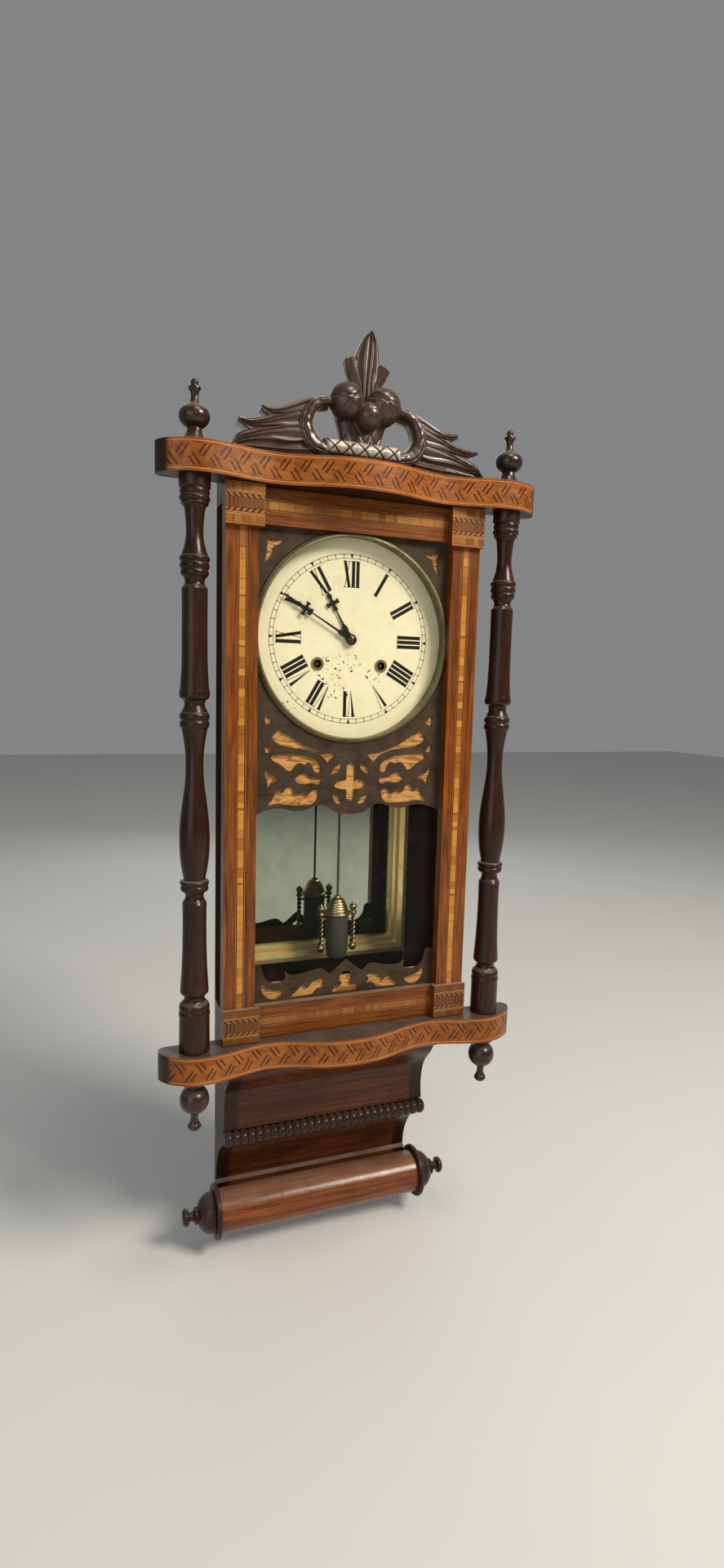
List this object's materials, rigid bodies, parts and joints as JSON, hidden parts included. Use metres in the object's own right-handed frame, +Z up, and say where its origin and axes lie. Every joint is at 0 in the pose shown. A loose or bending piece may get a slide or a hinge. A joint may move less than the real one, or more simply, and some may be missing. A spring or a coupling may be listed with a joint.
{
  "type": "inlaid wall clock",
  "caption": "Long inlaid wall clock with turned pillars, serpentine shelves, carved crest, fretted door, mirror back, pendulum and a bracket ending in a veneered roll.",
  "frame": {"origin": "centre of the hanger plate's keyhole, in the plane of the wall", "axes": "+X to the viewer's right, +Y into the wall, +Z up"},
  "size_m": [0.4244, 0.1598, 1.0453],
  "materials": {
    "case_wood": "dark polished mahogany",
    "inlaid_walnut": "polished walnut with inlaid bands",
    "ebonised": "dark stained and polished turned wood",
    "shelf_veneer": "polished veneer with parquetry banding",
    "block_veneer": "polished veneer with inlaid blocks",
    "bracket_veneer": "polished mahogany veneer",
    "roll_veneer": "highly polished veneer",
    "softwood": "unfinished softwood",
    "fret_wood": "dusty stained fret",
    "cloth": "gold-tan moire silk",
    "pane": "clear",
    "mirror": "silvered",
    "gilt": "burnished gilt",
    "dial_paint": "aged cream paint",
    "aged_brass": "aged, dull",
    "movement_brass": "polished",
    "black_steel": "blackened",
    "steel": "bright",
    "iron": "japanned",
    "jar_steel": "dark satin"
  },
  "bodies": {
    "case": {"backboard": "case_wood", "side_left": "case_wood", "side_right": "case_wood", "pillar_left": "ebonised", "pillar_right": "ebonised", "finials_upper": "ebonised", "finials_lower": "ebonised", "crest": "ebonised", "roll_ends": "ebonised", "bracket_slab": "ebonised", "bracket_bead": "ebonised", "shelf_top": "shelf_veneer", "shelf_bottom": "shelf_veneer", "bracket_upper": "bracket_veneer", "bracket_lower": "bracket_veneer", "roll": "roll_veneer", "inner_rails": "softwood", "mirror": "mirror", "gilt_frame": "gilt", "dial_pan": "dial_paint", "dial_bezel": "aged_brass", "grommets": "aged_brass", "case_hinge_leaves": "aged_brass", "brass_screws": "aged_brass", "hanger_plate": "aged_brass", "plate_front": "movement_brass", "plate_back": "movement_brass", "suspension_cock": "movement_brass", "gong_coil": "steel", "gong_base": "iron"},
    "door": {"door_stile_left": "inlaid_walnut", "door_stile_right": "inlaid_walnut", "door_rail_top": "inlaid_walnut", "door_rail_bottom": "inlaid_walnut", "corner_blocks": "block_veneer", "fret_upper": "fret_wood", "fret_lower": "fret_wood", "fabric_upper": "cloth", "fabric_lower": "cloth", "door_glass": "pane", "door_hinge_leaves": "aged_brass"},
    "minute": {"minute_hand": "black_steel", "cannon_pinion": "movement_brass"},
    "hour": {"hour_hand": "black_steel", "hour_wheel": "movement_brass"},
    "minute_wheel": {"minute_wheel": "movement_brass"},
    "escape_wheel": {"escape_wheel": "movement_brass"},
    "third_wheel": {"third_wheel": "movement_brass"},
    "centre_wheel": {"centre_wheel": "movement_brass"},
    "second_wheel": {"second_wheel": "movement_brass"},
    "time_wheel": {"time_wheel": "movement_brass"},
    "time_arbor": {"time_arbor": "steel"},
    "strike_wheel": {"strike_wheel": "movement_brass"},
    "strike_arbor": {"strike_arbor": "steel"},
    "hammer": {"hammer": "steel"},
    "verge": {"verge": "steel"},
    "pendulum": {"pendulum_rod": "steel", "bob_cap": "aged_brass", "bob_jar": "jar_steel", "bob_rods": "aged_brass"}
  },
  "joints": [
    {"name": "door_swing", "type": "hinge", "parent": "case", "child": "door", "pos_m": [0.1322, -0.1093, -0.2695], "axis": [0, 0, 1], "range_deg": [0, 85]},
    {"name": "minute_turn", "type": "hinge", "parent": "case", "child": "minute", "pos_m": [0, -0.055, -0.125], "axis": [0, 1, 0], "continuous": true},
    {"name": "hour_turn", "type": "hinge", "parent": "case", "child": "hour", "pos_m": [0, -0.055, -0.125], "axis": [0, 1, 0], "continuous": true},
    {"name": "minute_wheel_turn", "type": "hinge", "parent": "case", "child": "minute_wheel", "pos_m": [-0.0116, -0.055, -0.1336], "axis": [0, 1, 0], "continuous": true},
    {"name": "escape_turn", "type": "hinge", "parent": "case", "child": "escape_wheel", "pos_m": [0.007, -0.055, -0.104], "axis": [0, 1, 0], "continuous": true},
    {"name": "third_turn", "type": "hinge", "parent": "case", "child": "third_wheel", "pos_m": [0.01848, -0.055, -0.11734], "axis": [0, 1, 0], "continuous": true},
    {"name": "centre_turn", "type": "hinge", "parent": "case", "child": "centre_wheel", "pos_m": [0, -0.055, -0.125], "axis": [0, 1, 0], "continuous": true},
    {"name": "second_turn", "type": "hinge", "parent": "case", "child": "second_wheel", "pos_m": [0.01335, -0.055, -0.14042], "axis": [0, 1, 0], "continuous": true},
    {"name": "time_wheel_turn", "type": "hinge", "parent": "case", "child": "time_wheel", "pos_m": [0.0375, -0.055, -0.1525], "axis": [0, 1, 0], "continuous": true},
    {"name": "time_winding", "type": "hinge", "parent": "case", "child": "time_arbor", "pos_m": [0.0375, -0.055, -0.1525], "axis": [0, 1, 0], "continuous": true},
    {"name": "strike_wheel_turn", "type": "hinge", "parent": "case", "child": "strike_wheel", "pos_m": [-0.0375, -0.055, -0.1525], "axis": [0, 1, 0], "continuous": true},
    {"name": "strike_winding", "type": "hinge", "parent": "case", "child": "strike_arbor", "pos_m": [-0.0375, -0.055, -0.1525], "axis": [0, 1, 0], "continuous": true},
    {"name": "hammer_lift", "type": "hinge", "parent": "case", "child": "hammer", "pos_m": [-0.044, -0.055, -0.186], "axis": [0, 1, 0], "range_deg": [-4, 14]},
    {"name": "pendulum_swing", "type": "hinge", "parent": "case", "child": "pendulum", "pos_m": [0.007, -0.055, -0.084], "axis": [0, 1, 0], "range_deg": [-2.5, 2.5]},
    {"name": "verge_rock", "type": "hinge", "parent": "case", "child": "verge", "pos_m": [0.007, -0.055, -0.084], "axis": [0, 1, 0], "range_deg": [-2.6, 2.6]}
  ],
  "couplings": [
    {"joint": "hour_turn", "follows": "minute_turn", "ratio": 0.083333},
    {"joint": "minute_wheel_turn", "follows": "minute_turn", "ratio": -0.33333},
    {"joint": "third_turn", "follows": "escape_turn", "ratio": -0.1},
    {"joint": "centre_turn", "follows": "escape_turn", "ratio": 0.011111},
    {"joint": "second_turn", "follows": "escape_turn", "ratio": -0.0046296},
    {"joint": "time_wheel_turn", "follows": "escape_turn", "ratio": 0.00092593},
    {"joint": "verge_rock", "follows": "pendulum_swing", "ratio": 1}
  ]
}
